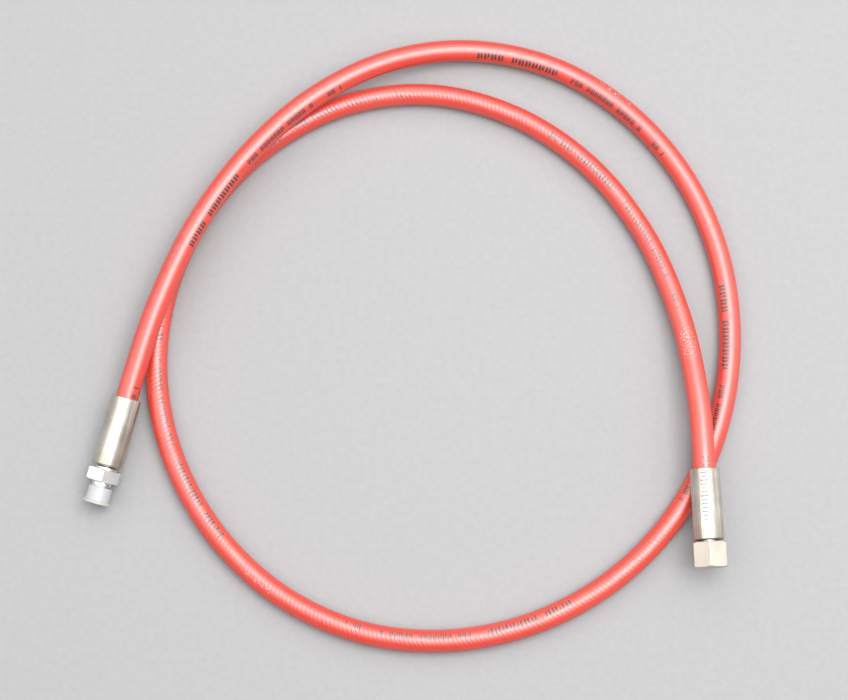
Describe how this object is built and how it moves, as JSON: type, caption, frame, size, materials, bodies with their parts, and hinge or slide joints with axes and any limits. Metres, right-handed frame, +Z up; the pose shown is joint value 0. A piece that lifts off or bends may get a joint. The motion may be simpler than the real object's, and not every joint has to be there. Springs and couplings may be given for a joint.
{
  "type": "hydraulic rescue tool hose assembly",
  "caption": "Red high-pressure hydraulic hose for a rescue tool, lying in loose loops, with a capped male end and a swivel-nut female end.",
  "frame": {"origin": "on the surface the hose lies on, under the middle of the whole assembly", "axes": "+Z up; +X across the loops from the male fitting towards the female fitting; both fittings point roughly towards -Y"},
  "size_m": [0.3948, 0.3753, 0.0333],
  "materials": {
    "hose_cover": "glossy polyurethane with faint wire ridges",
    "reinforcing_wire": "brass-coated high-tensile wire",
    "core_tube": "smooth natural polyamide",
    "ferrule": "satin zinc-nickel plate with crimp flats",
    "insert": "bright zinc plate",
    "swivel_nut": "pale iridescent passivated zinc",
    "dust_cap": "translucent soft polyethylene",
    "seal": "nitrile rubber"
  },
  "bodies": {
    "hose": {"hose_cover": "hose_cover", "outer_wire_layer": "reinforcing_wire", "inner_wire_layer": "reinforcing_wire", "core_tube": "core_tube", "male_ferrule": "ferrule", "male_insert": "insert", "female_ferrule": "ferrule", "female_insert": "insert", "thrust_wire": "insert", "cone_oring": "seal"},
    "nut": {"swivel_nut": "swivel_nut"},
    "cap": {"dust_cap": "dust_cap"}
  },
  "joints": [
    {"name": "nut_spin", "type": "hinge", "parent": "hose", "child": "nut", "pos_m": [0.17286, -0.13237, 0.0224], "axis": [0.0349, -0.9994, 0], "continuous": true},
    {"name": "cap_pull", "type": "slide", "parent": "hose", "child": "cap", "axis": [-0.2691, -0.9574, -0.1045], "range_m": [0, 0.0085]}
  ]
}
